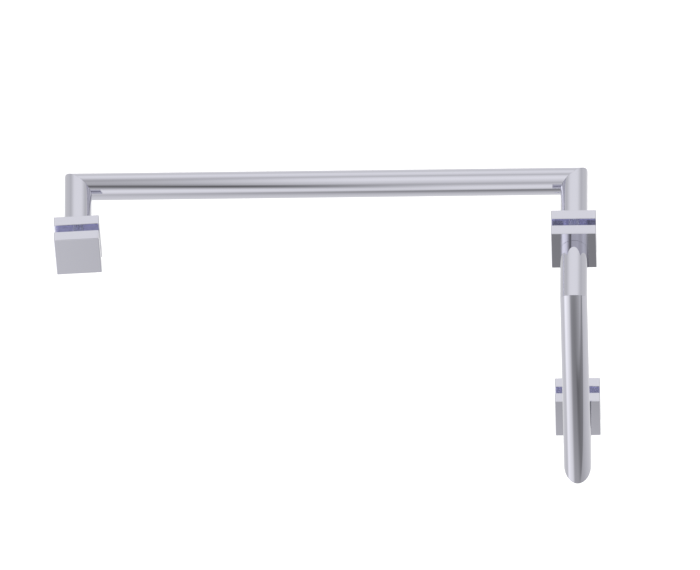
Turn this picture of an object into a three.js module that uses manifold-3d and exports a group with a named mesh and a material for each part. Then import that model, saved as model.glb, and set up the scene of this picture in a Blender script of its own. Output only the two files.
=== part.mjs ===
// Through-glass towel bar with a pull handle, for a frameless glass door.
//
// Frame: the origin lies on the middle plane of the glass, at the centre of the hole that the
// towel bar and the pull handle share. +X runs along the bar, and the bar's other end is at -X.
// +Z is up, and the handle hangs down from the origin. +Y is the towel side of the glass and
// -Y the handle side. All lengths are in millimetres.

import * as THREE from 'three';
import { mergeVertices } from 'three/addons/utils/BufferGeometryUtils.js';
import Module from 'manifold-3d';

const wasm = await Module();
wasm.setup();

// ---- driving dimensions ----

const BAR_CENTRES = 457.2; // hole to hole along the towel bar, 18 in
const HANDLE_CENTRES = 203.2; // hole to hole along the pull handle, 8 in
const BAR_PROJECTION = 65.5; // from the outer face of a plate to the axis of the towel bar
const HANDLE_PROJECTION = 65.5; // from the outer face of a plate to the axis of the grip
const TUBE_OD = 25;
const TUBE_WALL = 1.5;

const GLASS_THICKNESS = 8;
const GASKET_THICKNESS = 0.6;
const GASKET_INSET = 1; // from the edge of a plate to the edge of its gasket

const PLATE_SIZE = 41.5; // side of the square
const PLATE_THICKNESS = 12;
const PLATE_EDGE = 0.5; // width of its broken edges
const PLATE_CORNER = 0.8; // radius of its four corners
const LEFT_TWIST = THREE.MathUtils.degToRad(3.1); // how far the left pair sits off square

const STUD_DIAMETER = 8;
const STUD_CHAMFER = 0.8;
const SLEEVE_WALL = 0.8;
const CAP_FRONT = 3; // metal between the blind hole of a cap and its outer face

const INSERT_LENGTH = 20; // turned slug in the foot of a leg
const INSERT_CHAMFER = 1;
const THREAD_REACH = 15; // from the foot of a bar leg to the end of its stud
const SPIGOT_REACH = 14; // from the foot of a handle leg to the end of its stud

const GRUB_DIAMETER = 5;
const GRUB_CHAMFER = 0.5;
const GRUB_SETBACK = 8; // from the foot of a handle leg to the axis of its grub screw
const GRUB_RECESS = 0.4; // how far the grub screw sits below the surface of the tube
const GRUB_SOCKET_FLATS = 2.5;
const GRUB_SOCKET_DEPTH = 3;

// ---- clearances ----

const SEAT_GAP = 0.1; // between flat faces that are clamped together
const MITRE_GAP = 0.3; // root gap of a mitre weld
const INSERT_FIT = 0.1; // radial, between an insert and the bore of its tube
const STUD_FIT = 0.1; // radial, around a stud in a plate, a cap or an insert
const SLEEVE_FIT = 0.2; // radial, inside a sleeve to its stud and outside it to a gasket
const GRUB_FIT = 0.1; // around a grub screw, and from its tip to the stud
const BOTTOM_GAP = 0.5; // from the end of a stud to the bottom of a blind hole
const FOOT_RECESS = 0.2; // how far an insert sits inside the foot of its leg

// ---- fineness ----

const TUBE_SIDES = 48;
const STUD_SIDES = 32; // of a stud, its holes, an insert and a sleeve
const GRUB_SIDES = 24; // of a grub screw and its hole
const EDGE_STEPS = 1;
const CORNER_STEPS = 2;

// ---- places along Y, from the middle of the glass ----

const plateInner = GLASS_THICKNESS / 2 + GASKET_THICKNESS;
const plateOuter = plateInner + PLATE_THICKNESS;
const legFoot = plateOuter + SEAT_GAP;
const barAxis = plateOuter + BAR_PROJECTION;
const gripAxis = plateOuter + HANDLE_PROJECTION;
const grubAxis = legFoot + GRUB_SETBACK;

const tubeRadius = TUBE_OD / 2;
const tubeBore = tubeRadius - TUBE_WALL;
const studRadius = STUD_DIAMETER / 2;
const studHole = studRadius + STUD_FIT;
const sleeveBore = studRadius + SLEEVE_FIT;
const sleeveRadius = sleeveBore + SLEEVE_WALL;
const grubRadius = GRUB_DIAMETER / 2;

const X = new THREE.Vector3(1, 0, 0);
const Y = new THREE.Vector3(0, 1, 0);
const Z = new THREE.Vector3(0, 0, 1);

// ---- solids ----

function toSolid(geometry) {
  geometry.deleteAttribute('normal');
  geometry.deleteAttribute('uv');
  const merged = mergeVertices(geometry, 1e-4);
  const vertProperties = merged.attributes.position.array;
  const triVerts = new Uint32Array(merged.index.array);
  return new wasm.Manifold(new wasm.Mesh({ numProp: 3, vertProperties, triVerts }));
}

function toGeometry(solid) {
  const mesh = solid.getMesh();
  const shared = new THREE.BufferGeometry();
  shared.setAttribute('position', new THREE.BufferAttribute(mesh.vertProperties, 3));
  shared.setIndex(new THREE.BufferAttribute(mesh.triVerts, 1));
  const geometry = shared.toNonIndexed();
  geometry.computeVertexNormals();
  return geometry;
}

// A round rod on the Y axis.
function rod(radius, from, to, sides = STUD_SIDES) {
  const cylinder = new THREE.CylinderGeometry(radius, radius, to - from, sides);
  return toSolid(cylinder.translate(0, (from + to) / 2, 0));
}

// A round rod on the Y axis with both ends chamfered.
function chamferedRod(radius, from, to, chamfer, sides = STUD_SIDES) {
  const profile = [
    new THREE.Vector2(0, from),
    new THREE.Vector2(radius - chamfer, from),
    new THREE.Vector2(radius, from + chamfer),
    new THREE.Vector2(radius, to - chamfer),
    new THREE.Vector2(radius - chamfer, to),
    new THREE.Vector2(0, to),
  ];
  return toSolid(new THREE.LatheGeometry(profile, sides));
}

// A square slab across the Y axis, with its edges broken where edge is above 0.
function slab(side, from, to, edge, corner) {
  const middle = side / 2 - corner;
  const outline = new THREE.Shape();
  outline.absarc(middle, middle, corner, 0, Math.PI / 2);
  outline.absarc(-middle, middle, corner, Math.PI / 2, Math.PI);
  outline.absarc(-middle, -middle, corner, Math.PI, 1.5 * Math.PI);
  outline.absarc(middle, -middle, corner, 1.5 * Math.PI, 2 * Math.PI);
  const geometry = new THREE.ExtrudeGeometry(outline, {
    depth: to - from - 2 * edge,
    curveSegments: CORNER_STEPS,
    bevelEnabled: edge > 0,
    bevelThickness: edge,
    bevelSize: edge,
    bevelOffset: -edge,
    bevelSegments: EDGE_STEPS,
  });
  geometry.rotateX(-Math.PI / 2);
  return toSolid(geometry.translate(0, from + edge, 0));
}

// Everything beyond the plane through a point, on the side that its normal points to.
function halfSpace(point, normal) {
  const reach = 4 * TUBE_OD;
  const box = new THREE.BoxGeometry(reach, reach, reach).translate(0, 0, reach / 2);
  box.applyQuaternion(new THREE.Quaternion().setFromUnitVectors(Z, normal));
  return toSolid(box.translate(point.x, point.y, point.z));
}

// A tube between two points of its axis. Where another tube leaves one of those points, its
// direction is given, and that end is mitred to meet it. An end without one is cut square.
function tube(start, end, startNeighbour, endNeighbour) {
  const along = end.clone().sub(start).normalize();
  const startRun = startNeighbour ? tubeRadius : 0;
  const endRun = endNeighbour ? tubeRadius : 0;
  const turn = new THREE.Quaternion().setFromUnitVectors(Y, along);
  const round = (radius, overrun) => {
    const length = start.distanceTo(end) + startRun + endRun;
    const body = new THREE.CylinderGeometry(radius, radius, length + 2 * overrun, TUBE_SIDES);
    body.translate(0, length / 2 - startRun, 0).applyQuaternion(turn);
    return toSolid(body.translate(start.x, start.y, start.z));
  };
  const mitre = (corner, inward, neighbour) => {
    const normal = neighbour.clone().sub(inward).normalize();
    return halfSpace(corner.clone().addScaledVector(normal, -MITRE_GAP / 2), normal);
  };

  let solid = round(tubeRadius, 0).subtract(round(tubeBore, TUBE_WALL));
  if (startNeighbour) {
    solid = solid.subtract(mitre(start, along, startNeighbour));
  }
  if (endNeighbour) {
    solid = solid.subtract(mitre(end, along.clone().negate(), endNeighbour));
  }
  return solid;
}

// The hole for a grub screw, from the axis of a leg at height z down through its wall.
function grubHole(y, z) {
  const radius = grubRadius + GRUB_FIT;
  const hole = new THREE.CylinderGeometry(radius, radius, TUBE_OD, GRUB_SIDES);
  hole.rotateX(Math.PI / 2);
  return toSolid(hole.translate(0, y, z - tubeRadius));
}

// ---- materials ----

const chrome = () => new THREE.MeshStandardMaterial({
  color: 0xd6d8e0, metalness: 1, roughness: 0.06,
});
const brass = () => new THREE.MeshStandardMaterial({
  color: 0xc9a86a, metalness: 1, roughness: 0.35,
});
const zincSteel = () => new THREE.MeshStandardMaterial({
  color: 0xb9bcc4, metalness: 1, roughness: 0.3,
});
const clearVinyl = () => new THREE.MeshStandardMaterial({
  color: 0xdfe6ee, roughness: 0.25, transparent: true, opacity: 0.45,
});

// ---- assembly ----

const part = new THREE.Group();

function add(parent, name, solid, material) {
  const mesh = new THREE.Mesh(toGeometry(solid), material);
  mesh.name = name;
  parent.add(mesh);
  return mesh;
}

// One side of the glass at one hole: its own frame has +Y pointing away from the glass.
function side(station, isNear) {
  const group = new THREE.Group();
  group.rotation.z = isNear ? Math.PI : 0;
  station.add(group);
  return group;
}

// A plate that a leg stands on, drilled through for the stud.
function addPlate(group, name) {
  const plate = slab(PLATE_SIZE, plateInner, plateOuter, PLATE_EDGE, PLATE_CORNER);
  const hole = rod(studHole, plateInner - 1, plateOuter + 1);
  add(group, name, plate.subtract(hole), chrome());
}

// A cap is the same square with a blind hole, which hides the end of the stud.
function addCap(group, name) {
  const cap = slab(PLATE_SIZE, plateInner, plateOuter, PLATE_EDGE, PLATE_CORNER);
  const hole = rod(studHole, plateInner - 1, plateOuter - CAP_FRONT);
  add(group, name, cap.subtract(hole), chrome());
}

function addGasket(group, name) {
  const gasketSide = PLATE_SIZE - 2 * GASKET_INSET;
  const from = GLASS_THICKNESS / 2;
  const gasket = slab(gasketSide, from, plateInner - SEAT_GAP, 0, PLATE_CORNER);
  const hole = rod(sleeveRadius + SLEEVE_FIT, from - 1, plateInner + 1);
  add(group, name, gasket.subtract(hole), clearVinyl());
}

// A sleeve keeps its stud off the glass, and reaches from one plate to the other.
function addSleeve(station, name) {
  const half = plateInner - SEAT_GAP;
  const ring = rod(sleeveRadius, -half, half);
  add(station, name, ring.subtract(rod(sleeveBore, -half - 1, half + 1)), clearVinyl());
}

function addInsert(group, name, hole) {
  const from = legFoot + FOOT_RECESS;
  const to = from + INSERT_LENGTH;
  const slug = chamferedRod(tubeBore - INSERT_FIT, from, to, INSERT_CHAMFER);
  let solid = slug.subtract(rod(studHole, from - 1, to + 1));
  if (hole) {
    solid = solid.subtract(hole);
  }
  add(group, name, solid, brass());
}

function addGrubScrew(z, name) {
  const tip = studRadius + GRUB_FIT;
  const head = tubeRadius - GRUB_RECESS;
  const body = chamferedRod(grubRadius, tip, head, GRUB_CHAMFER, GRUB_SIDES);
  const socketRadius = GRUB_SOCKET_FLATS / Math.sqrt(3);
  const socket = rod(socketRadius, head - GRUB_SOCKET_DEPTH, head + 1, 6);
  const screw = add(part, name, body.subtract(socket), zincSteel());
  screw.position.set(0, -grubAxis, z);
  screw.rotation.x = -Math.PI / 2;
}

// The studs' ends: inside a bar leg, inside a handle leg, or inside a cap.
const inBarLeg = legFoot + THREAD_REACH;
const inHandleLeg = legFoot + SPIGOT_REACH;
const inCap = plateOuter - CAP_FRONT - BOTTOM_GAP;

function addStud(station, name, near, far) {
  add(station, name, chamferedRod(studRadius, -near, far, STUD_CHAMFER), zincSteel());
}

// ---- towel bar, on the far side ----

const barLeft = new THREE.Vector3(-BAR_CENTRES, barAxis, 0);
const barRight = new THREE.Vector3(0, barAxis, 0);
const away = Y.clone().negate();

add(part, 'bar_tube', tube(barLeft, barRight, away, away), chrome());
add(part, 'bar_leg_left', tube(barLeft.clone().setY(legFoot), barLeft, null, X), chrome());
add(part, 'bar_leg_right',
  tube(barRight.clone().setY(legFoot), barRight, null, X.clone().negate()), chrome());

// ---- pull handle, on the near side ----

const gripTop = new THREE.Vector3(0, -gripAxis, 0);
const gripBottom = new THREE.Vector3(0, -gripAxis, -HANDLE_CENTRES);
const down = Z.clone().negate();

const legTop = tube(gripTop.clone().setY(-legFoot), gripTop, null, down);
const legBottom = tube(gripBottom.clone().setY(-legFoot), gripBottom, null, Z);
add(part, 'grip_tube', tube(gripTop, gripBottom, Y, Y), chrome());
add(part, 'handle_leg_top', legTop.subtract(grubHole(-grubAxis, 0)), chrome());
add(part, 'handle_leg_bottom',
  legBottom.subtract(grubHole(-grubAxis, -HANDLE_CENTRES)), chrome());

// ---- left station: bar leg and near cap, clamped a little off square ----

const left = new THREE.Group();
left.position.set(-BAR_CENTRES, 0, 0);
part.add(left);
addInsert(left, 'insert_bar_left', null);
addStud(left, 'stud_left', inCap, inBarLeg);
addSleeve(left, 'sleeve_left');

const leftPlates = new THREE.Group();
leftPlates.rotation.y = -LEFT_TWIST;
left.add(leftPlates);
addPlate(side(leftPlates, false), 'plate_bar_left');
addGasket(side(leftPlates, false), 'gasket_bar_left');
addCap(side(leftPlates, true), 'cap_left');
addGasket(side(leftPlates, true), 'gasket_cap_left');

// ---- top station: bar leg and handle leg share one stud ----

const top = new THREE.Group();
part.add(top);
addInsert(top, 'insert_bar_right', null);
addStud(top, 'stud_top', inHandleLeg, inBarLeg);
addSleeve(top, 'sleeve_top');
addPlate(side(top, false), 'plate_bar_right');
addGasket(side(top, false), 'gasket_bar_right');
addPlate(side(top, true), 'plate_handle_top');
addGasket(side(top, true), 'gasket_handle_top');

// ---- bottom station: handle leg and far cap ----

const bottom = new THREE.Group();
bottom.position.set(0, 0, -HANDLE_CENTRES);
part.add(bottom);
addStud(bottom, 'stud_bottom', inHandleLeg, inCap);
addSleeve(bottom, 'sleeve_bottom');
addCap(side(bottom, false), 'cap_bottom');
addGasket(side(bottom, false), 'gasket_cap_bottom');
addPlate(side(bottom, true), 'plate_handle_bottom');
addGasket(side(bottom, true), 'gasket_handle_bottom');

// ---- inserts and grub screws of the handle legs ----

const handleFeet = new Map([['top', 0], ['bottom', -HANDLE_CENTRES]]);
for (const [place, z] of handleFeet) {
  const station = new THREE.Group();
  station.position.set(0, 0, z);
  part.add(station);
  addInsert(side(station, true), 'insert_handle_' + place, grubHole(grubAxis, 0));
  addGrubScrew(z, 'grub_screw_' + place);
}

export default part;
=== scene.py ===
import math

import bmesh
import bpy
from mathutils import Matrix, Vector


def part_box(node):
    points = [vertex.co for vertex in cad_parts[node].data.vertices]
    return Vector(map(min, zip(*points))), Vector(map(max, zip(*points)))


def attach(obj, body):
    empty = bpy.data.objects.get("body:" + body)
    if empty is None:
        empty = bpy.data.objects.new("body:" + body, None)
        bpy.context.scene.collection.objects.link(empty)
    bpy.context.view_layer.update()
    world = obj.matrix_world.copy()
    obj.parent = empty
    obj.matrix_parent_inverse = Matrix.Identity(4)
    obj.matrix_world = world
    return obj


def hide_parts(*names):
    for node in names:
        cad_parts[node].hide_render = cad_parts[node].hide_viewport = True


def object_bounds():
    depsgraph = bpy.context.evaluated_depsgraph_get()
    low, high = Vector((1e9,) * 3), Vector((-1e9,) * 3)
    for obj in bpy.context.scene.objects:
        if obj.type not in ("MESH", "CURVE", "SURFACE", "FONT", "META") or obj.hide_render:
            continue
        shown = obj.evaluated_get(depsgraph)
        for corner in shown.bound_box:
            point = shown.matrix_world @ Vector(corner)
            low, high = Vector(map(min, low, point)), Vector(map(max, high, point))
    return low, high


# A towel bar and a pull handle that clamp one glass panel between pairs of square plates.
# Frame: the origin is the shared hole in the glass, +X along the bar, +Y to the towel side,
# +Z up. Lengths are in metres, and most are read from the CAD model's boxes.

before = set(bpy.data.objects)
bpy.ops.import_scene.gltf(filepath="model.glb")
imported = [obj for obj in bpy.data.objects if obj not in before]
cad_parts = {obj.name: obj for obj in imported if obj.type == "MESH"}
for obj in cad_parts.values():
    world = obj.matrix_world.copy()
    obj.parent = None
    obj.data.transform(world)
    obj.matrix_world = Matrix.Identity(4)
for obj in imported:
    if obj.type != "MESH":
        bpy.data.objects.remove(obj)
cad_low, cad_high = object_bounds()

MM = 0.001
X = Vector((1, 0, 0))
Y = Vector((0, 1, 0))
Z = Vector((0, 0, 1))


# ---- measures read from the frame ----

def middle(node):
    low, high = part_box(node)
    return (low + high) / 2


def extent(node):
    low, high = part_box(node)
    return high - low


TUBE_RADIUS = extent("bar_leg_left").x / 2
STUD_RADIUS = extent("stud_top").x / 2
SLEEVE_RADIUS = extent("sleeve_top").x / 2
GRUB_RADIUS = extent("grub_screw_top").x / 2
PLATE_SIDE = extent("plate_bar_right").x
GASKET_SIDE = extent("gasket_bar_right").x

LEFT = middle("stud_left").x
BOTTOM = middle("stud_bottom").z
BAR_Y = middle("bar_tube").y
GRIP_Y = middle("grip_tube").y
FAR_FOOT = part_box("bar_leg_left")[0].y
NEAR_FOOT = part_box("handle_leg_top")[1].y
PLATE_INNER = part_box("plate_bar_right")[0].y

# ---- measures of the detail that CAD leaves out ----

LEFT_TWIST = math.radians(3.1)  # how far the left plates sit round from square
TUBE_WALL = 1.5 * MM
TUBE_EDGE = 0.12 * MM

PLATE_EDGE = 0.5 * MM
GASKET_EDGE = 0.08 * MM
SLAB_CORNER = 0.8 * MM
LEAST_CORNER = 0.15 * MM
PLATE_BORE = STUD_RADIUS + 0.1 * MM
GASKET_BORE = SLEEVE_RADIUS + 0.2 * MM
CAP_FRONT = 3 * MM  # metal left in front of a cap's blind hole

SHANK_HALF = 7 * MM
STUD_PITCH = 1.25 * MM
STUD_GROOVE = 0.55 * MM
STUD_CHAMFER = 0.8 * MM
SLEEVE_BORE = STUD_RADIUS + 0.2 * MM
SLEEVE_EDGE = 0.15 * MM

INSERT_CHAMFER = 1 * MM
INSERT_BORE = STUD_RADIUS + 0.1 * MM
GLUE_GROOVE_DEPTH = 0.5 * MM
GLUE_GROOVE_HALF = 0.7 * MM
GLUE_GROOVE_PLACES = (0.2, 0.8)  # as shares of an insert's length
DRILL_OVERRUN = 1 * MM
GRUB_HOLE_RADIUS = GRUB_RADIUS + 0.1 * MM

SOCKET_FLATS = 2.5 * MM
SOCKET_DEPTH = 3 * MM
SOCKET_LIP = 0.15 * MM
SOCKET_RIM = 0.3 * MM
GRUB_CHAMFER = 0.5 * MM
GRUB_PITCH = 0.8 * MM
GRUB_GROOVE = 0.3 * MM
CUP_DEPTH = 0.25 * MM
CUP_FLOOR = 0.35 * GRUB_RADIUS
CUP_INNER = 0.62 * GRUB_RADIUS
CUP_OUTER = 0.70 * GRUB_RADIUS

THREAD_STEPS = 8  # rings of points in each turn of a thread
THREAD_SLOPE = 2.6  # steepness of a thread's flanks
THREAD_FLAT = 0.15  # how wide its crest stays flat

TUBE_SIDES = 192
INSERT_SIDES = 128
STUD_SIDES = 64  # of a stud, a sleeve or a drilled hole
GRUB_SIDES = 48
CORNER_STEPS = 5
SIDE_STEPS = 8
EDGE_STEPS = 4

SHARP = math.radians(32)  # edges that bend more than this are shaded sharp
WALL_LEAN = 0.9  # how nearly a face points away from a tube's axis where it is its wall


# ---- mesh helpers ----

def new_piece(name, bm, body, replaced, finish):
    """Turns a bmesh into an object that rides on a body and stands for a CAD node."""
    bmesh.ops.recalc_face_normals(bm, faces=bm.faces)
    for edge in bm.edges:
        edge.smooth = len(edge.link_faces) == 2 and edge.calc_face_angle() < SHARP
    mesh = bpy.data.meshes.new(name)
    bm.to_mesh(mesh)
    bm.free()
    piece = bpy.data.objects.new(name, mesh)
    bpy.context.scene.collection.objects.link(piece)
    mesh.materials.append(finish)
    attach(piece, body)
    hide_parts(replaced)
    return piece


def ring(bm, points):
    return [bm.verts.new(p) for p in points]


def bridge(bm, a, b, smooth=True):
    """Quads between two rings with as many points."""
    count = len(a)
    for i in range(count):
        j = (i + 1) % count
        face = bm.faces.new((a[i], a[j], b[j], b[i]))
        face.smooth = smooth


def turned(origin, axis, stations, sides, bored=False):
    """A solid turned about an axis from (radius, height) stations. A radius may be a function of
    the angle. A bored solid runs round its wall and back to the first station."""
    bm = bmesh.new()
    other = axis.cross(X)
    loops = []
    for radius, height in stations:
        points = []
        for i in range(sides):
            angle = 2 * math.pi * i / sides
            reach = radius(angle) if callable(radius) else radius
            radial = reach * (X * math.cos(angle) + other * math.sin(angle))
            points.append(origin + radial + axis * height)
        loops.append(ring(bm, points))
    for i in range(len(loops) - 1):
        bridge(bm, loops[i], loops[i + 1])
    if bored:
        bridge(bm, loops[-1], loops[0])
    else:
        bm.faces.new(loops[0])
        bm.faces.new(loops[-1])
    return bm


def thread(crest, depth, pitch, start, end):
    """Stations of a screw thread between two heights, which fades in and out at its ends."""
    steps = max(2, round((end - start) / pitch * THREAD_STEPS))
    stations = []
    for i in range(steps + 1):
        height = start + (end - start) * i / steps
        fade = min(1.0, (height - start) / pitch, (end - height) / pitch)

        def radius(angle, height=height, fade=fade):
            phase = (height / pitch - angle / (2 * math.pi)) % 1.0
            groove = min(1.0, max(0.0, abs(phase - 0.5) * THREAD_SLOPE - THREAD_FLAT))
            return crest - depth * fade * groove

        stations.append((radius, height))
    return stations


def drill(piece, centre, axis, radius, depth):
    """Cuts a round hole into a piece's mesh. The hole reaches half its depth to each side."""
    bm = bmesh.new()
    bmesh.ops.create_cone(
        bm, cap_ends=True, segments=STUD_SIDES, radius1=radius, radius2=radius, depth=depth)
    turn = Z.rotation_difference(axis).to_matrix().to_4x4()
    bmesh.ops.transform(bm, matrix=Matrix.Translation(centre) @ turn, verts=bm.verts)
    mesh = bpy.data.meshes.new("drill")
    bm.to_mesh(mesh)
    bm.free()
    cutter = bpy.data.objects.new("drill", mesh)
    bpy.context.scene.collection.objects.link(cutter)
    cut = piece.modifiers.new("hole", "BOOLEAN")
    cut.operation = "DIFFERENCE"
    cut.solver = "EXACT"
    cut.object = cutter
    bpy.context.view_layer.update()
    graph = bpy.context.evaluated_depsgraph_get()
    done = bpy.data.meshes.new_from_object(piece.evaluated_get(graph))
    piece.modifiers.remove(cut)
    old = piece.data
    piece.data = done
    bpy.data.meshes.remove(old)
    bpy.data.objects.remove(cutter)
    bpy.data.meshes.remove(mesh)


# ---- shader helpers ----

NOISE_LOW = 0.3  # a noise spends most of its time between these two values
NOISE_HIGH = 0.7


def material(name):
    made = bpy.data.materials.new(name)
    made.use_nodes = True
    return made, made.node_tree, made.node_tree.nodes["Principled BSDF"]


def sides_of(tree, kind):
    """The X, Y and Z of a texture coordinate."""
    place = tree.nodes.new("ShaderNodeTexCoord")
    split = tree.nodes.new("ShaderNodeSeparateXYZ")
    tree.links.new(place.outputs[kind], split.inputs[0])
    return split.outputs


def noise(tree, scale, detail=3.0):
    place = tree.nodes.new("ShaderNodeTexCoord")
    made = tree.nodes.new("ShaderNodeTexNoise")
    made.inputs["Scale"].default_value = scale
    made.inputs["Detail"].default_value = detail
    tree.links.new(place.outputs["Object"], made.inputs["Vector"])
    return made.outputs["Fac"]


def calc(tree, operation, first, second=0.0):
    """A math node on two sockets or numbers."""
    made = tree.nodes.new("ShaderNodeMath")
    made.operation = operation
    for index, value in enumerate((first, second)):
        if isinstance(value, (int, float)):
            made.inputs[index].default_value = value
        else:
            tree.links.new(value, made.inputs[index])
    return made.outputs[0]


def bell(tree, value, centre, width, gain=1.0):
    """A smooth hump of a given gain round a centre, which may be a socket."""
    away = calc(tree, "DIVIDE", calc(tree, "SUBTRACT", value, centre), width)
    squared = calc(tree, "MULTIPLY", away, away)
    fallen = calc(tree, "EXPONENT", calc(tree, "MULTIPLY", squared, -1.0))
    return calc(tree, "MULTIPLY", fallen, gain)


def rise(tree, value, low, high, bottom=0.0, top=1.0):
    """A smooth step from bottom to top as the value goes from low to high."""
    made = tree.nodes.new("ShaderNodeMapRange")
    made.interpolation_type = "SMOOTHSTEP"
    made.inputs["From Min"].default_value = low
    made.inputs["From Max"].default_value = high
    made.inputs["To Min"].default_value = bottom
    made.inputs["To Max"].default_value = top
    tree.links.new(value, made.inputs["Value"])
    return made.outputs["Result"]


def spread(tree, source, low, high):
    """Maps the middle of a noise to a range."""
    made = tree.nodes.new("ShaderNodeMapRange")
    made.inputs["From Min"].default_value = NOISE_LOW
    made.inputs["From Max"].default_value = NOISE_HIGH
    made.inputs["To Min"].default_value = low
    made.inputs["To Max"].default_value = high
    tree.links.new(source, made.inputs["Value"])
    return made.outputs["Result"]


def mix_colour(tree, factor, first, second):
    """A blend of two colours, each a socket or a constant."""
    made = tree.nodes.new("ShaderNodeMix")
    made.data_type = "RGBA"
    for name, value in (("A", first), ("B", second)):
        if isinstance(value, tuple):
            made.inputs[name].default_value = (*value, 1)
        else:
            tree.links.new(value, made.inputs[name])
    tree.links.new(factor, made.inputs["Factor"])
    return made.outputs["Result"]


def bump(tree, height, strength, distance):
    made = tree.nodes.new("ShaderNodeBump")
    made.inputs["Strength"].default_value = strength
    made.inputs["Distance"].default_value = distance
    tree.links.new(height, made.inputs["Height"])
    return made.outputs["Normal"]


# ---- materials ----

CHROME_DARK = (0.645, 0.643, 0.716)
CHROME_LIGHT = (0.657, 0.655, 0.726)
# Painted light: a lighter, more violet chrome for the faces that close the glass gaps, so the
# mirrors in mirrors there look brighter
CHROME_GAP_PAINTED_LIGHT = (0.79, 0.79, 0.885)
VINYL_DARK = (0.80, 0.82, 0.88)
VINYL_LIGHT = (0.90, 0.92, 0.97)
GAP_START = PLATE_INNER + 0.02 * MM
GAP_END = PLATE_INNER + 0.05 * MM


def chrome():
    """Mirror metal, with painted light: the faces that close the glass gaps get a lighter, more
    violet chrome so the mirrors in mirrors there look brighter.
    """
    made, tree, shader = material("polished_chrome")
    shader.inputs["Metallic"].default_value = 1.0
    cloud = noise(tree, scale=18.0)
    haze = noise(tree, scale=260.0, detail=5.0)
    polished = mix_colour(tree, cloud, CHROME_DARK, CHROME_LIGHT)
    depth = calc(tree, "ABSOLUTE", sides_of(tree, "Object")["Y"])
    # Painted light: the faces next to the glass take the lighter gap chrome
    gap_painted_light = rise(tree, depth, GAP_START, GAP_END, bottom=1.0, top=0.0)
    colour = mix_colour(tree, gap_painted_light, polished, CHROME_GAP_PAINTED_LIGHT)
    tree.links.new(colour, shader.inputs["Base Color"])
    tree.links.new(spread(tree, haze, low=0.008, high=0.026), shader.inputs["Roughness"])
    return made


def turning_lines(tree, axis, per_metre):
    """Fine rings left by a lathe, across an axis of the object."""
    made = tree.nodes.new("ShaderNodeTexNoise")
    made.noise_dimensions = "1D"
    made.inputs["Scale"].default_value = per_metre
    made.inputs["Detail"].default_value = 2.0
    tree.links.new(sides_of(tree, "Object")[axis], made.inputs["W"])
    return made.outputs["Fac"]


def turned_metal(name, dull, bright, rough_low, rough_high, axis):
    """A metal with cloudy tarnish and lathe rings."""
    made, tree, shader = material(name)
    shader.inputs["Metallic"].default_value = 1.0
    tarnish = noise(tree, scale=160.0, detail=5.0)
    rings = turning_lines(tree, axis, per_metre=5200.0)
    tree.links.new(mix_colour(tree, tarnish, dull, bright), shader.inputs["Base Color"])
    rough = calc(tree, "ADD",
                 spread(tree, tarnish, rough_low, rough_high),
                 spread(tree, rings, low=-0.03, high=0.03))
    tree.links.new(rough, shader.inputs["Roughness"])
    fine = bump(tree, rings, strength=0.25, distance=0.02 * MM)
    tree.links.new(fine, shader.inputs["Normal"])
    return made


def vinyl(name, rim_strength, rim_power):
    """A clear plastic, drawn as a thin veil that thickens where it is seen edge on."""
    made, tree, shader = material(name)
    cloud = noise(tree, scale=90.0)
    colour = mix_colour(tree, cloud, VINYL_DARK, VINYL_LIGHT)
    tree.links.new(colour, shader.inputs["Base Color"])
    tree.links.new(spread(tree, cloud, low=0.08, high=0.20), shader.inputs["Roughness"])
    weight = tree.nodes.new("ShaderNodeLayerWeight")
    rim = calc(tree, "POWER", weight.outputs["Facing"], rim_power)
    rim = calc(tree, "MULTIPLY", rim, rim_strength)
    veil = calc(tree, "ADD", rim, spread(tree, cloud, low=0.003, high=0.009))
    tree.links.new(veil, shader.inputs["Alpha"])
    return made


CHROME = chrome()
BRASS = turned_metal(
    "turned_brass", dull=(0.60, 0.43, 0.18), bright=(0.80, 0.64, 0.34),
    rough_low=0.20, rough_high=0.40, axis="Y")
ZINC = turned_metal(
    "zinc_steel", dull=(0.74, 0.75, 0.82), bright=(0.85, 0.86, 0.92),
    rough_low=0.05, rough_high=0.11, axis="Y")
STAINLESS = turned_metal(
    "stainless", dull=(0.44, 0.44, 0.46), bright=(0.57, 0.57, 0.59),
    rough_low=0.18, rough_high=0.34, axis="Z")
VINYL = vinyl("clear_vinyl", rim_strength=0.35, rim_power=3.0)
SLEEVE_VINYL = vinyl("sleeve_vinyl", rim_strength=0.95, rim_power=2.0)


# ---- tubes of the bar and the handle ----

def tube_mesh(start, end, start_neighbour, end_neighbour):
    """A hollow tube between two points of its axis. An end with a neighbour is mitred to meet
    the tube that leaves that point along the neighbour's direction."""
    bm = bmesh.new()
    along = (end - start).normalized()
    side = Z if abs(along.z) < 0.5 else X
    other = along.cross(side)

    def loop(radius, at_start, inset):
        points = []
        neighbour = start_neighbour if at_start else end_neighbour
        inward = along if at_start else -along
        corner = start if at_start else end
        for i in range(TUBE_SIDES):
            angle = 2 * math.pi * i / TUBE_SIDES
            radial = radius * (side * math.cos(angle) + other * math.sin(angle))
            run = radial.dot(neighbour) if neighbour else 0.0
            points.append(corner + radial + inward * (run + inset))
        return ring(bm, points)

    outer = TUBE_RADIUS
    inner = TUBE_RADIUS - TUBE_WALL
    loops = [
        loop(outer, True, TUBE_EDGE),
        loop(outer, False, TUBE_EDGE),
        loop(outer - TUBE_EDGE, False, 0),
        loop(inner, False, 0),
        loop(inner, True, 0),
        loop(outer - TUBE_EDGE, True, 0),
    ]
    walls = (0, 3)
    for i, current in enumerate(loops):
        bridge(bm, current, loops[(i + 1) % len(loops)], smooth=i in walls)
    return bm


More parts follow.
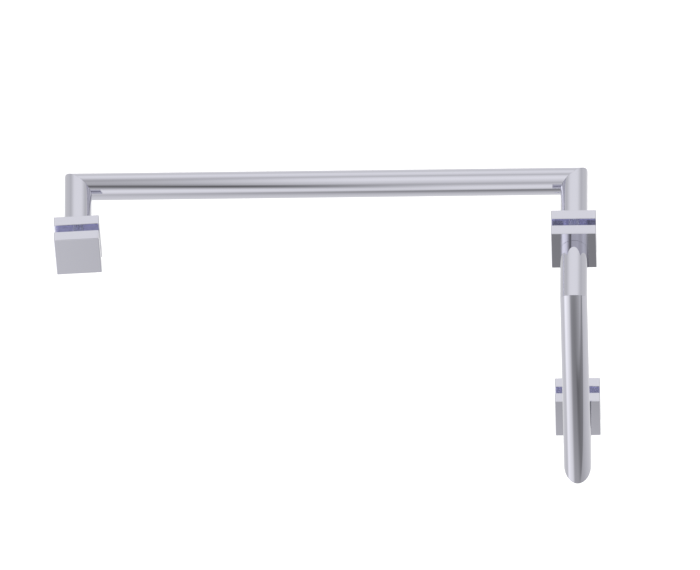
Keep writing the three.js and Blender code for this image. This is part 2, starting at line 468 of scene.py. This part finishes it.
def set_tube_normals(mesh, start, along):
    """Gives the round walls exact radial normals, and leaves the ends flat."""
    normals = []
    for polygon in mesh.polygons:
        facing = polygon.normal
        for index in polygon.vertices:
            offset = mesh.vertices[index].co - start
            radial = (offset - along * offset.dot(along)).normalized()
            lean = radial.dot(facing)
            if polygon.use_smooth and lean > WALL_LEAN:
                normals.append(radial)
            elif polygon.use_smooth and lean < -WALL_LEAN:
                normals.append(-radial)
            else:
                normals.append(facing)
    mesh.normals_split_custom_set(normals)


def tube_piece(name, start, end, start_neighbour, end_neighbour, grub_hole=False):
    """A tube, with a hole in its underside where a grub screw passes through."""
    bm = tube_mesh(start, end, start_neighbour, end_neighbour)
    piece = new_piece(name + "_polished", bm, "root", name, CHROME)
    if grub_hole:
        centre = Vector((0, middle("grub_screw_top").y, start.z - TUBE_RADIUS))
        drill(piece, centre, -Z, GRUB_HOLE_RADIUS, 2 * TUBE_RADIUS)
    set_tube_normals(piece.data, start, (end - start).normalized())


bar_left = Vector((LEFT, BAR_Y, 0))
bar_right = Vector((0, BAR_Y, 0))
grip_top = Vector((0, GRIP_Y, 0))
grip_bottom = Vector((0, GRIP_Y, BOTTOM))

tube_piece("bar_tube", bar_left, bar_right, -Y, -Y)
tube_piece("bar_leg_left", Vector((LEFT, FAR_FOOT, 0)), bar_left, None, X)
tube_piece("bar_leg_right", Vector((0, FAR_FOOT, 0)), bar_right, None, -X)
tube_piece("grip_tube", grip_top, grip_bottom, Y, Y)
tube_piece("handle_leg_top", Vector((0, NEAR_FOOT, 0)), grip_top, None, -Z, True)
tube_piece("handle_leg_bottom", Vector((0, NEAR_FOOT, BOTTOM)), grip_bottom, None, Z, True)


# ---- square plates, caps and gaskets ----

def square_angles(half, corner):
    """Angles that sample a rounded square finely round its corners and evenly between them."""
    found = []
    for quarter in range(4):
        base = quarter * math.pi / 2
        for i in range(CORNER_STEPS + 1):
            arc = i / CORNER_STEPS * math.pi / 2
            x = half - corner + corner * math.cos(arc)
            y = half - corner + corner * math.sin(arc)
            found.append(base + math.atan2(y, x))
        first = base + math.atan2(half, half - corner)
        last = base + math.pi / 2 + math.atan2(half - corner, half)
        found += [first + (last - first) * i / SIDE_STEPS for i in range(1, SIDE_STEPS)]
    return sorted(angle % (2 * math.pi) for angle in found)


def square_point(angle, half, corner):
    """Where a ray from the middle of a rounded square leaves it."""
    folded = (angle + math.pi / 4) % (math.pi / 2) - math.pi / 4
    reach = half / math.cos(folded)
    if abs(half * math.tan(folded)) > half - corner:
        middle_of_arc = Vector((half - corner, math.copysign(half - corner, folded)))
        ray = Vector((math.cos(folded), math.sin(folded)))
        along = ray.dot(middle_of_arc)
        reach = along + math.sqrt(along ** 2 - middle_of_arc.length_squared + corner ** 2)
    return reach * math.cos(angle), reach * math.sin(angle)


def slab_piece(name, node, body, finish, side, edge, bore, blind, twist):
    """A square slab across Y with rounded edges. bore is the radius of its hole, which stops
    at a distance from the outer face where blind is above 0."""
    low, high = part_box(node)
    place = (low + high) / 2
    outward = 1 if place.y > 0 else -1
    inner = low.y if outward > 0 else high.y
    outer = high.y if outward > 0 else low.y
    angles = square_angles(side / 2, SLAB_CORNER)
    bm = bmesh.new()

    def outline(inset, y):
        points = []
        for angle in angles:
            corner = max(SLAB_CORNER - inset, LEAST_CORNER)
            u, w = square_point(angle, side / 2 - inset, corner)
            x = u * math.cos(twist) - w * math.sin(twist)
            z = u * math.sin(twist) + w * math.cos(twist)
            points.append(Vector((place.x + x, y, place.z + z)))
        return ring(bm, points)

    def circle(radius, y):
        points = []
        for angle in angles:
            x = radius * math.cos(angle + twist)
            z = radius * math.sin(angle + twist)
            points.append(Vector((place.x + x, y, place.z + z)))
        return ring(bm, points)

    loops = []
    for i in range(EDGE_STEPS + 1):
        arc = i / EDGE_STEPS * math.pi / 2
        inset = edge * (1 - math.sin(arc))
        loops.append(outline(inset, inner + outward * edge * (1 - math.cos(arc))))
    for i in range(EDGE_STEPS + 1):
        arc = i / EDGE_STEPS * math.pi / 2
        inset = edge * (1 - math.cos(arc))
        loops.append(outline(inset, outer - outward * edge * (1 - math.sin(arc))))
    for i in range(len(loops) - 1):
        bridge(bm, loops[i], loops[i + 1], smooth=i != EDGE_STEPS)
    bore_in = circle(bore, inner)
    bridge(bm, bore_in, loops[0], smooth=False)
    if blind:
        bore_end = circle(bore, outer - outward * blind)
        bridge(bm, bore_in, bore_end)
        bm.faces.new(bore_end)
        bm.faces.new(loops[-1])
    else:
        bore_out = circle(bore, outer)
        bridge(bm, bore_in, bore_out)
        bridge(bm, bore_out, loops[-1], smooth=False)
    new_piece(name, bm, body, node, finish)


def plate_pair(place, cap=False, twist=0.0):
    """A plate or a blind cap with its gasket, which turn together on a stud."""
    body = "swivel_" + place
    plate = place if cap else "plate_" + place
    gasket = "gasket_" + place
    slab_piece(
        plate + "_polished", plate, body, CHROME,
        PLATE_SIDE, PLATE_EDGE, PLATE_BORE, CAP_FRONT if cap else 0.0, twist)
    slab_piece(
        gasket + "_clear", gasket, body, VINYL,
        GASKET_SIDE, GASKET_EDGE, GASKET_BORE, 0.0, twist)


plate_pair("bar_left", twist=LEFT_TWIST)
plate_pair("cap_left", cap=True, twist=LEFT_TWIST)
plate_pair("bar_right")
plate_pair("handle_top")
plate_pair("cap_bottom", cap=True)
plate_pair("handle_bottom")


# ---- studs and sleeves through the glass ----

def stud_piece(node):
    """A stud with a plain shank inside the glass and a screw thread at each end."""
    low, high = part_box(node)
    origin = middle(node)
    origin.y = 0
    tip = STUD_RADIUS - STUD_CHAMFER
    near_end = low.y + STUD_CHAMFER
    far_end = high.y - STUD_CHAMFER
    stations = [(tip, low.y)]
    stations += thread(STUD_RADIUS, STUD_GROOVE, STUD_PITCH, near_end, -SHANK_HALF)
    stations += thread(STUD_RADIUS, STUD_GROOVE, STUD_PITCH, SHANK_HALF, far_end)
    stations += [(tip, high.y)]
    bm = turned(origin, Y, stations, STUD_SIDES)
    new_piece(node + "_threaded", bm, "root", node, ZINC)


def sleeve_piece(node):
    """The clear sleeve that keeps a stud off the edge of its hole in the glass."""
    low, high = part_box(node)
    origin = middle(node)
    origin.y = 0
    stations = [
        (SLEEVE_RADIUS - SLEEVE_EDGE, low.y),
        (SLEEVE_RADIUS, low.y + SLEEVE_EDGE),
        (SLEEVE_RADIUS, high.y - SLEEVE_EDGE),
        (SLEEVE_RADIUS - SLEEVE_EDGE, high.y),
        (SLEEVE_BORE + SLEEVE_EDGE, high.y),
        (SLEEVE_BORE, high.y - SLEEVE_EDGE),
        (SLEEVE_BORE, low.y + SLEEVE_EDGE),
        (SLEEVE_BORE + SLEEVE_EDGE, low.y),
    ]
    bm = turned(origin, Y, stations, STUD_SIDES, bored=True)
    new_piece(node + "_clear", bm, "root", node, SLEEVE_VINYL)


for place in ("left", "top", "bottom"):
    stud_piece("stud_" + place)
    sleeve_piece("sleeve_" + place)


# ---- inserts in the feet of the legs ----

def insert_piece(node, grub=None):
    """A brass insert with two glue grooves, a bore and, in the handle, a hole for its screw."""
    low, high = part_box(node)
    origin = middle(node)
    towards_tube = 1 if origin.y > 0 else -1
    length = high.y - low.y
    origin.y = low.y if towards_tube > 0 else high.y
    radius = (high.x - low.x) / 2
    groove_floor = radius - GLUE_GROOVE_DEPTH
    bore_chamfer = INSERT_CHAMFER / 2
    stations = [(radius - INSERT_CHAMFER, 0.0), (radius, INSERT_CHAMFER)]
    for share in GLUE_GROOVE_PLACES:
        centre = length * share
        stations += [
            (radius, centre - GLUE_GROOVE_HALF),
            (groove_floor, centre - GLUE_GROOVE_HALF + GLUE_GROOVE_DEPTH / 2),
            (groove_floor, centre + GLUE_GROOVE_HALF - GLUE_GROOVE_DEPTH / 2),
            (radius, centre + GLUE_GROOVE_HALF),
        ]
    stations += [
        (radius, length - INSERT_CHAMFER),
        (radius - INSERT_CHAMFER, length),
        (INSERT_BORE + bore_chamfer, length),
        (INSERT_BORE, length - bore_chamfer),
        (INSERT_BORE, bore_chamfer),
        (INSERT_BORE + bore_chamfer, 0.0),
    ]
    bm = turned(origin, Y * towards_tube, stations, INSERT_SIDES, bored=True)
    piece = new_piece(node + "_turned", bm, "root", node, BRASS)
    if grub:
        centre = middle(node)
        centre.y = middle(grub).y
        centre.z -= radius
        depth = radius - STUD_RADIUS + DRILL_OVERRUN
        drill(piece, centre, -Z, GRUB_HOLE_RADIUS, 2 * depth)


insert_piece("insert_bar_left")
insert_piece("insert_bar_right")
insert_piece("insert_handle_top", "grub_screw_top")
insert_piece("insert_handle_bottom", "grub_screw_bottom")


# ---- grub screws under the handle ----

def hexagon(angle):
    """Radius of the hexagonal socket at an angle."""
    folded = angle % (math.pi / 3) - math.pi / 6
    return SOCKET_FLATS / 2 / math.cos(folded)


def grub_piece(node, body):
    """A cup-point grub screw with a hexagonal socket in its lower end."""
    low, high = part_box(node)
    origin = middle(node)
    origin.z = high.z
    length = high.z - low.z
    stations = [
        (CUP_FLOOR, CUP_DEPTH),
        (CUP_INNER, 0.0),
        (CUP_OUTER, 0.0),
    ]
    stations += thread(
        GRUB_RADIUS, GRUB_GROOVE, GRUB_PITCH, 2 * GRUB_CHAMFER, length - GRUB_CHAMFER)
    stations += [
        (GRUB_RADIUS - GRUB_CHAMFER, length),
        (SOCKET_FLATS / 2 + SOCKET_RIM, length),
        (hexagon, length - SOCKET_LIP),
        (hexagon, length - SOCKET_DEPTH),
    ]
    bm = turned(origin, -Z, stations, GRUB_SIDES)
    new_piece(node + "_socket", bm, body, node, STAINLESS)


grub_piece("grub_screw_top", "grub_top")
grub_piece("grub_screw_bottom", "grub_bottom")


# ---- studio light seen in the chrome ----

ROOM_LIGHT = 0.86
BACKDROP_LIGHT = 1.1
LEFT_BOX_DIRECTION = Vector((-0.655, -0.395, -0.65)).normalized()
LOW_BOX_DIRECTION = Vector((-0.64, -0.76, 0.03)).normalized()


def agreement(tree, sides, goal):
    """The cosine of the angle between a direction and a goal."""
    total = 0.0
    for part, share in zip(sides, goal):
        total = calc(tree, "ADD", calc(tree, "MULTIPLY", part, share), total)
    return total


def boxes_round_bar(tree, across, depth, height):
    """Soft light boxes and the darker seams between them, at angles round the bar in degrees:
    0 is level in front, 90 is overhead, 180 is level behind and -90 is straight down."""
    angle = calc(tree, "ARCTAN2", height, calc(tree, "MULTIPLY", depth, -1.0))
    angle = calc(tree, "MULTIPLY", angle, 180 / math.pi)
    level_front = bell(tree, angle, centre=-2.0, width=16.0, gain=0.20)
    front_shade = bell(tree, angle, centre=29.0, width=13.0, gain=-0.24)
    right_fade = rise(tree, across, low=0.02, high=0.40, bottom=1.0, top=0.3)
    front_shade = calc(tree, "MULTIPLY", front_shade, right_fade)
    overhead_box = bell(tree, angle, centre=74.0, width=18.0, gain=0.20)
    overhead_seam = bell(tree, angle, centre=104.0, width=9.0, gain=-0.18)
    back_box = bell(tree, angle, centre=135.0, width=16.0, gain=0.15)
    back_seam = bell(tree, angle, centre=161.0, width=9.0, gain=-0.08)
    total = ROOM_LIGHT
    for part in (level_front, front_shade, overhead_box, overhead_seam, back_box, back_seam):
        total = calc(tree, "ADD", total, part)
    return total


def side_dimming(tree, across, height):
    """How much darker the studio is to the left and right, less so low down."""
    sideways = calc(tree, "ABSOLUTE", across)
    return calc(tree, "MULTIPLY",
                rise(tree, sideways, low=0.30, high=0.60, bottom=0.0, top=0.17),
                rise(tree, height, low=-0.60, high=-0.35, bottom=0.3, top=1.0))


def left_glow(tree, sides, height):
    """A box low on the left, which makes the bright stripe down the left of the grip."""
    close = agreement(tree, sides, LEFT_BOX_DIRECTION)
    return calc(tree, "MULTIPLY",
                rise(tree, close, low=0.88, high=0.985, bottom=0.0, top=0.70),
                rise(tree, height, low=-0.60, high=-0.46, bottom=1.0, top=0.0))


def low_glow(tree, sides):
    """A level box on the left, seen in the handle's leg by way of its plate."""
    close = agreement(tree, sides, LOW_BOX_DIRECTION)
    return rise(tree, close, low=0.89, high=0.97, bottom=0.0, top=0.62)


def studio_world():
    """The studio as mirrors see it. The camera itself sees white."""
    world = bpy.data.worlds.new("studio")
    bpy.context.scene.world = world
    world.use_nodes = True
    tree = world.node_tree
    tree.nodes.clear()
    sides = sides_of(tree, "Generated")
    across, depth, height = sides
    total = boxes_round_bar(tree, across, depth, height)
    kept = calc(tree, "SUBTRACT", 1.0, side_dimming(tree, across, height))
    total = calc(tree, "MULTIPLY", total, kept)
    total = calc(tree, "ADD", total, left_glow(tree, sides, height))
    total = calc(tree, "ADD", total, low_glow(tree, sides))
    studio = tree.nodes.new("ShaderNodeBackground")
    tree.links.new(total, studio.inputs["Color"])
    backdrop = tree.nodes.new("ShaderNodeBackground")
    backdrop.inputs["Color"].default_value = (1, 1, 1, 1)
    backdrop.inputs["Strength"].default_value = BACKDROP_LIGHT
    path = tree.nodes.new("ShaderNodeLightPath")
    mix = tree.nodes.new("ShaderNodeMixShader")
    out = tree.nodes.new("ShaderNodeOutputWorld")
    tree.links.new(path.outputs["Is Camera Ray"], mix.inputs[0])
    tree.links.new(studio.outputs[0], mix.inputs[1])
    tree.links.new(backdrop.outputs[0], mix.inputs[2])
    tree.links.new(mix.outputs[0], out.inputs["Surface"])


studio_world()


# ---- sheets that darken part of what the mirrors see ----

SCRIM_FLOOR = -0.345
SCRIM_FRONT = -0.875
SCRIM_TOP = 2.0
SCRIM_REACH = BAR_Y - SCRIM_FRONT

FLOOR_SCRIM_SIDE = 8.0
FRONT_SCRIM_WIDTH = 8.0
FRONT_SCRIM_HEIGHT = 4.6
FRONT_SCRIM_MIDDLE = 2.0
TOP_SCRIM_WIDTH = 4.0
TOP_SCRIM_DEPTH = 3.0
TOP_SCRIM_X = -1.0
TOP_SCRIM_Y = -0.4


def plane(name, centre, normal, width, height, up):
    """A rectangle that faces along its normal, with its width across the up direction."""
    across = up.cross(normal).normalized()
    upward = normal.cross(across).normalized()
    corners = [
        centre + across * (sx * width / 2) + upward * (sy * height / 2)
        for sx, sy in ((-1, -1), (1, -1), (1, 1), (-1, 1))
    ]
    mesh = bpy.data.meshes.new(name)
    mesh.from_pydata([tuple(corner) for corner in corners], [], [(0, 1, 2, 3)])
    mesh.uv_layers.new(name="UVMap")
    for loop, uv in zip(mesh.uv_layers[0].data, ((0, 0), (1, 0), (1, 1), (0, 1))):
        loop.uv = uv
    made = bpy.data.objects.new(name, mesh)
    bpy.context.scene.collection.objects.link(made)
    return made


def dark_scrim(name, centre, normal, width, height, up, shading):
    """A see-through sheet that only mirrors see, and that darkens what lies behind it."""
    sheet = plane(name, centre, normal, width, height, up)
    sheet.visible_camera = False
    sheet.visible_diffuse = False
    sheet.visible_shadow = False
    made = bpy.data.materials.new(name)
    made.use_nodes = True
    tree = made.node_tree
    tree.nodes.clear()
    clear = tree.nodes.new("ShaderNodeBsdfTransparent")
    tree.links.new(shading(tree, sides_of(tree, "Object")), clear.inputs["Color"])
    out = tree.nodes.new("ShaderNodeOutputMaterial")
    tree.links.new(clear.outputs[0], out.inputs["Surface"])
    sheet.data.materials.append(made)


def sloped(tree, x, slope, offset):
    """A straight line over x."""
    return calc(tree, "ADD", calc(tree, "MULTIPLY", x, slope), offset)


def without(tree, shade):
    """The light left by a shade."""
    return calc(tree, "SUBTRACT", 1.0, shade)


def floor_shading(tree, sides):
    """A broad dark pool in front of the handle, with a darker band to its right."""
    x = sides["X"]
    y = sides["Y"]
    pool = calc(tree, "MULTIPLY",
                bell(tree, x, centre=0.0, width=0.39),
                bell(tree, y, centre=-0.44, width=0.31, gain=0.66))
    near_edge = sloped(tree, x, slope=0.15, offset=-0.24)
    far_edge = sloped(tree, x, slope=0.40, offset=-0.46)
    band = calc(tree, "MULTIPLY",
                rise(tree, calc(tree, "SUBTRACT", near_edge, y), low=0.0, high=0.015),
                rise(tree, calc(tree, "SUBTRACT", y, far_edge), low=0.0, high=0.06))
    strength = rise(tree, x, low=0.0, high=0.10, bottom=0.0, top=0.48)
    band = calc(tree, "MULTIPLY", band, strength)
    return calc(tree, "MULTIPLY", without(tree, pool), without(tree, band))


def front_shading(tree, sides):
    """A dark stripe that climbs to the left."""
    x = sides["X"]
    climb = calc(tree, "DIVIDE", sides["Z"], SCRIM_REACH)
    line = sloped(tree, x, slope=-2.45, offset=-0.22525)
    strength = rise(tree, x, low=-0.36, high=-0.08, bottom=0.76, top=0.04)
    strength = calc(tree, "MULTIPLY", strength, rise(tree, x, low=-0.80, high=-0.50))
    stripe = calc(tree, "MULTIPLY", bell(tree, climb, line, width=0.34), strength)
    return without(tree, stripe)


def overhead_shading(tree, sides):
    """A dim corner above the left end."""
    x = sides["X"]
    corner = calc(tree, "MULTIPLY",
                  rise(tree, x, low=-0.48, high=-0.20, bottom=0.43, top=0.0),
                  rise(tree, sides["Y"], low=0.05, high=0.75, bottom=1.0, top=0.0))
    corner = calc(tree, "MULTIPLY", corner, rise(tree, x, low=-0.90, high=-0.55))
    return without(tree, corner)


dark_scrim(
    "scrim_floor", Vector((0, 0, SCRIM_FLOOR)), Z,
    FLOOR_SCRIM_SIDE, FLOOR_SCRIM_SIDE, Y, floor_shading)
dark_scrim(
    "scrim_front", Vector((0, SCRIM_FRONT, FRONT_SCRIM_MIDDLE)), Y,
    FRONT_SCRIM_WIDTH, FRONT_SCRIM_HEIGHT, Z, front_shading)
dark_scrim(
    "scrim_top", Vector((TOP_SCRIM_X, TOP_SCRIM_Y, SCRIM_TOP)), Z,
    TOP_SCRIM_WIDTH, TOP_SCRIM_DEPTH, Y, overhead_shading)


# ---- floor and lamp ----

FLOOR_DROP = 1.2
FLOOR_SIDE = 9.0
FLOOR_ROUGHNESS = 0.9
FLOOR_DARK = (0.93, 0.93, 0.93)
FLOOR_LIGHT = (0.96, 0.96, 0.96)
LAMP_SPREAD = math.radians(60)
LAMP_STRENGTH = 1.4
LAMP_HEIGHT = 2.5


def pale_floor():
    centre = Vector((LEFT / 2, 0, cad_low.z - FLOOR_DROP))
    floor = plane("floor", centre, Z, FLOOR_SIDE, FLOOR_SIDE, Y)
    floor.visible_glossy = False
    made, tree, shader = material("pale_floor")
    shader.inputs["Roughness"].default_value = FLOOR_ROUGHNESS
    colour = mix_colour(tree, noise(tree, scale=3.0), FLOOR_DARK, FLOOR_LIGHT)
    tree.links.new(colour, shader.inputs["Base Color"])
    floor.data.materials.append(made)


def soft_lamp():
    """A wide soft lamp overhead for the floor and the plastic, which mirrors don't see."""
    lamp = bpy.data.lights.new("overhead", "SUN")
    lamp.angle = LAMP_SPREAD
    lamp.energy = LAMP_STRENGTH
    made = bpy.data.objects.new("overhead", lamp)
    made.location = (LEFT / 2, 0, LAMP_HEIGHT)
    made.visible_glossy = False
    made.visible_camera = False
    bpy.context.scene.collection.objects.link(made)


pale_floor()
soft_lamp()


# ---- camera ----

AZIMUTH = math.radians(1.03)
ELEVATION = math.radians(40.42)
ROLL = math.radians(1.35)
VIEW_WIDTH = 0.6452
VIEW_MIDDLE = Vector((-0.2074, 0.0039, -0.0559))
CAMERA_DISTANCE = 2.0


def camera():
    """A parallel view from the photo's angle."""
    data = bpy.data.cameras.new("camera")
    data.type = "ORTHO"
    data.ortho_scale = VIEW_WIDTH
    made = bpy.data.objects.new("camera", data)
    bpy.context.scene.collection.objects.link(made)
    back = Vector((
        math.sin(AZIMUTH) * math.cos(ELEVATION),
        -math.cos(AZIMUTH) * math.cos(ELEVATION),
        math.sin(ELEVATION)))
    right = Vector((math.cos(AZIMUTH), math.sin(AZIMUTH), 0))
    up = back.cross(right)
    rolled_right = right * math.cos(ROLL) - up * math.sin(ROLL)
    rolled_up = right * math.sin(ROLL) + up * math.cos(ROLL)
    turn = Matrix((rolled_right, rolled_up, back)).transposed()
    made.matrix_world = Matrix.Translation(VIEW_MIDDLE + back * CAMERA_DISTANCE) @ turn.to_4x4()
    bpy.context.scene.camera = made


camera()

# The gaps between the plates show mirrors in mirrors, seen through several clear layers.
MIRROR_BOUNCES = 16
ALL_BOUNCES = 24
CLEAR_LAYERS = 64

scene = bpy.context.scene
scene.view_settings.view_transform = "Standard"
scene.cycles.max_bounces = ALL_BOUNCES
scene.cycles.glossy_bounces = MIRROR_BOUNCES
scene.cycles.transmission_bounces = MIRROR_BOUNCES
scene.cycles.transparent_max_bounces = CLEAR_LAYERS
